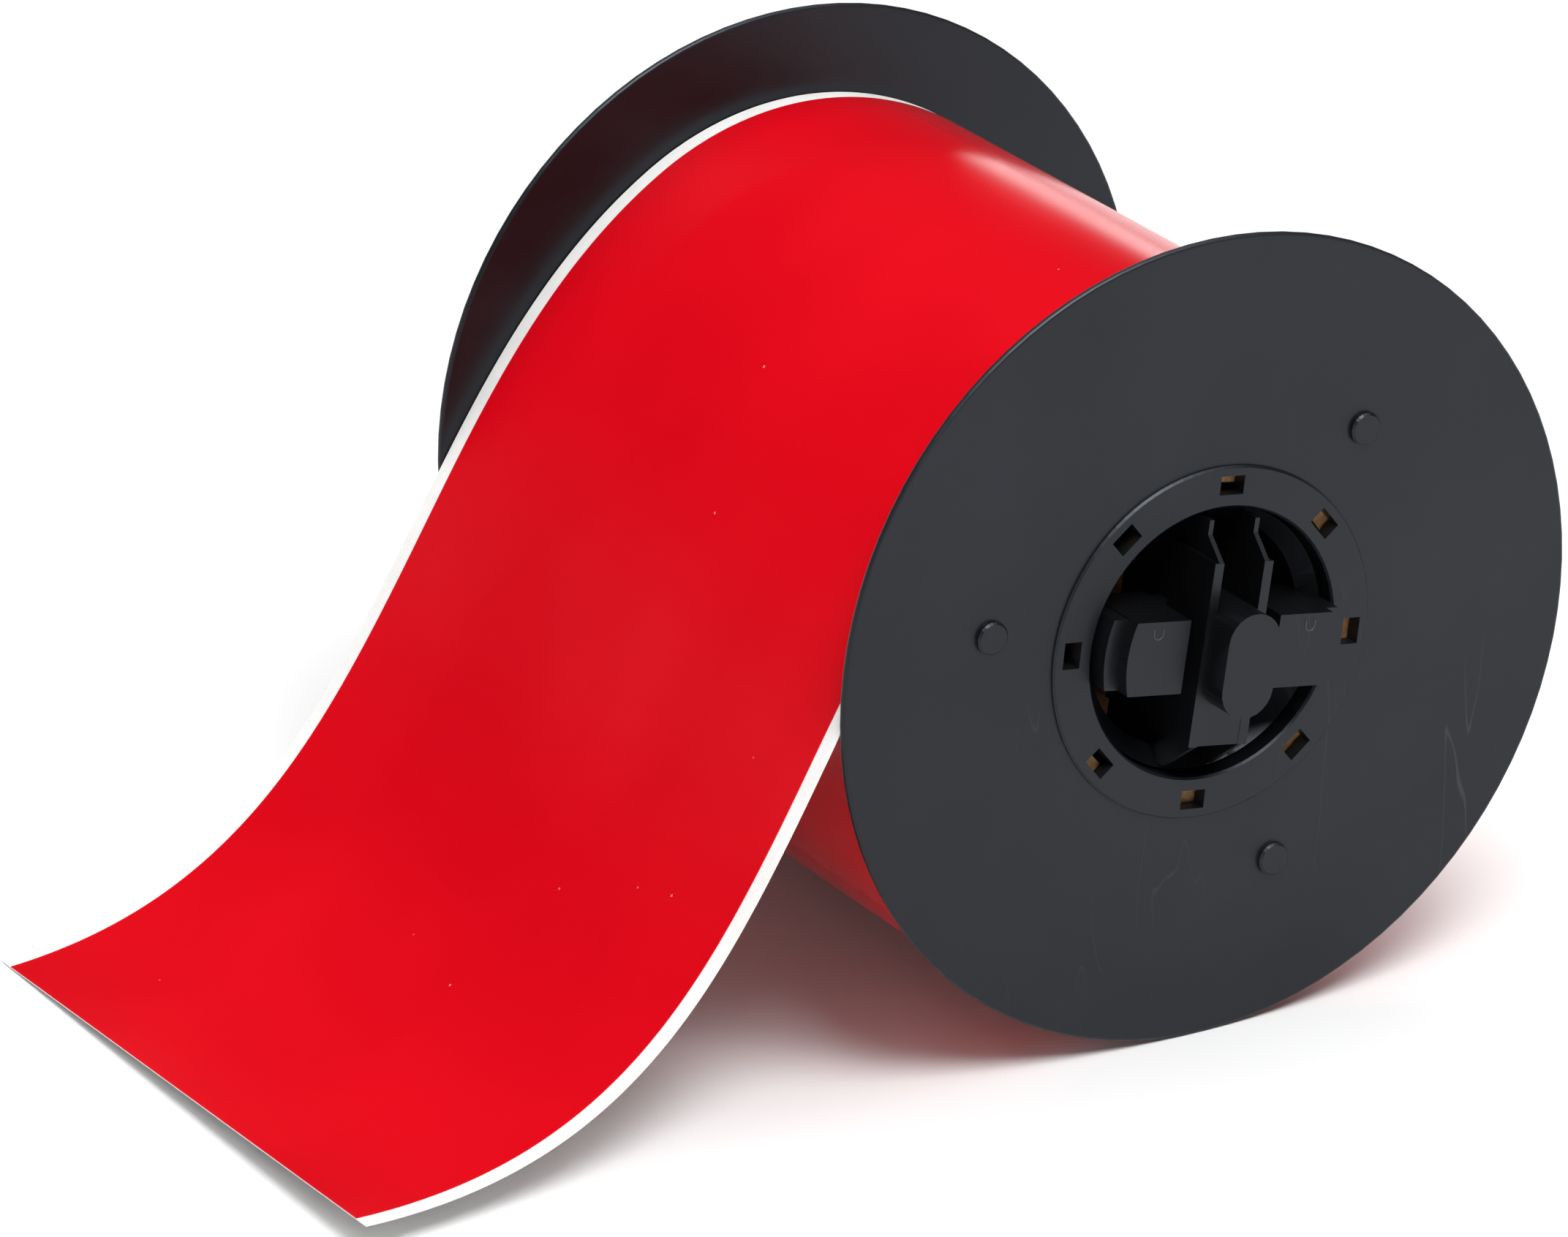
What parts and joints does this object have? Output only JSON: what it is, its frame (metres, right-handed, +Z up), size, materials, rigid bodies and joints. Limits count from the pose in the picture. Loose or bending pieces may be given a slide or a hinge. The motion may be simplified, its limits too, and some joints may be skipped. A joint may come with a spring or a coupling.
{
  "type": "roll of sign vinyl on a spool",
  "caption": "Flanged spool of red sign vinyl on a white release liner, with a keyed hub that turns in each end and a loose tail that lies out on the table.",
  "frame": {"origin": "middle of the footprint, on the table that the flange rims stand on", "axes": "+Y runs along the spool's axis from the front end to the rear end, +Z is up, and the loose tail lies out towards -X"},
  "size_m": [0.1864, 0.1294, 0.113],
  "materials": {
    "flange_plastic": "satin",
    "hub_plastic": "satin",
    "core_board": "matte",
    "tape": "satin",
    "wound_vinyl": "satin",
    "liner_paper": "satin",
    "vinyl_film": "gloss"
  },
  "bodies": {
    "spool": {"front_flange": "flange_plastic", "rear_flange": "flange_plastic", "core": "core_board", "core_tape": "tape", "wound_roll": "wound_vinyl", "liner_web": "liner_paper", "vinyl_web": "vinyl_film"},
    "front_hub": {"front_hub": "hub_plastic"},
    "rear_hub": {"rear_hub": "hub_plastic"}
  },
  "joints": [
    {"name": "front_hub_turn", "type": "hinge", "parent": "spool", "child": "front_hub", "pos_m": [0.0367, -0.0553, 0.0565], "axis": [0, 1, 0], "continuous": true},
    {"name": "rear_hub_turn", "type": "hinge", "parent": "spool", "child": "rear_hub", "pos_m": [0.0367, 0.0553, 0.0565], "axis": [0, 1, 0], "continuous": true}
  ]
}
